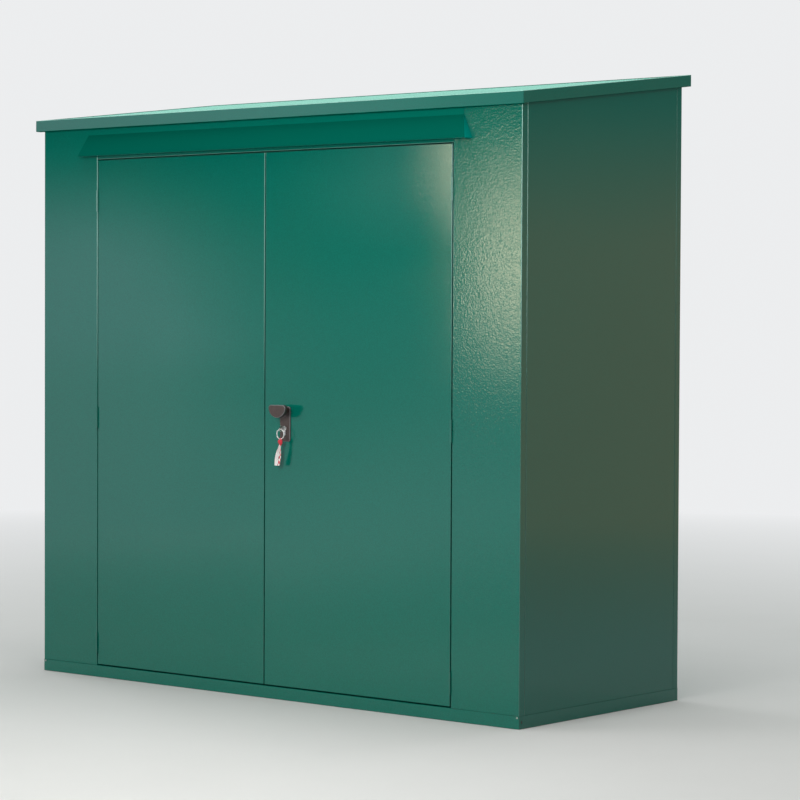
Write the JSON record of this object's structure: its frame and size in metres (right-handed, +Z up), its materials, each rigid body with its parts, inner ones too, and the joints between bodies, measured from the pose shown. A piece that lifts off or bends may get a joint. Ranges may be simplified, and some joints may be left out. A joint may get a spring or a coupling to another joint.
{
  "type": "tool shed",
  "caption": "Pent-roof tool shed of folded sheet steel with hinged double doors, a rain hood over them and a T-handle lock.",
  "frame": {"origin": "on the ground under the middle of the four walls, on the underside of the floor bearer", "axes": "+X along the front to the right as seen from the front, +Y from the front wall to the back wall, +Z up"},
  "size_m": [2.244, 0.964, 2.1368],
  "materials": {
    "green_paint": "semi-gloss powder coat",
    "galvanised_steel": "galvanised",
    "dark_lock_metal": "satin",
    "bright_steel": "polished",
    "strap_fabric": "woven"
  },
  "bodies": {
    "shed": {"base_front_rail": "green_paint", "base_back_rail": "green_paint", "base_left_rail": "green_paint", "base_right_rail": "green_paint", "front_left_panel": "green_paint", "front_right_panel": "green_paint", "header_panel": "green_paint", "left_wall_panel": "green_paint", "right_wall_panel": "green_paint", "back_left_panel": "green_paint", "back_centre_panel": "green_paint", "back_right_panel": "green_paint", "roof_tray_left": "green_paint", "roof_tray_centre": "green_paint", "roof_tray_right": "green_paint", "front_fascia": "green_paint", "back_fascia": "green_paint", "left_fascia": "green_paint", "right_fascia": "green_paint", "rain_hood": "green_paint", "left_frame_hinges": "green_paint", "right_frame_hinges": "green_paint", "floor_tray_left": "galvanised_steel", "floor_tray_centre": "galvanised_steel", "floor_tray_right": "galvanised_steel", "floor_bearer": "galvanised_steel"},
    "left_door": {"left_door": "green_paint", "left_door_braces": "green_paint", "left_door_hinges": "green_paint"},
    "right_door": {"right_door": "green_paint", "right_door_braces": "green_paint", "right_door_hinges": "green_paint", "lock_plate": "dark_lock_metal", "lock_cylinder": "bright_steel", "lock_case": "galvanised_steel", "lock_rods": "galvanised_steel", "door_key": "bright_steel", "key_ring": "bright_steel", "key_tag": "strap_fabric"},
    "handle": {"t_handle": "dark_lock_metal"}
  },
  "joints": [
    {"name": "left_door_hinge", "type": "hinge", "parent": "shed", "child": "left_door", "pos_m": [-0.82, -0.4511, 0], "axis": [0, 0, -1], "range_deg": [0, 175]},
    {"name": "right_door_hinge", "type": "hinge", "parent": "shed", "child": "right_door", "pos_m": [0.82, -0.4511, 0], "axis": [0, 0, 1], "range_deg": [0, 175]},
    {"name": "handle_turn", "type": "hinge", "parent": "right_door", "child": "handle", "pos_m": [0.098, -0.4475, 0.9915], "axis": [0, 1, 0], "range_deg": [0, 90]}
  ]
}
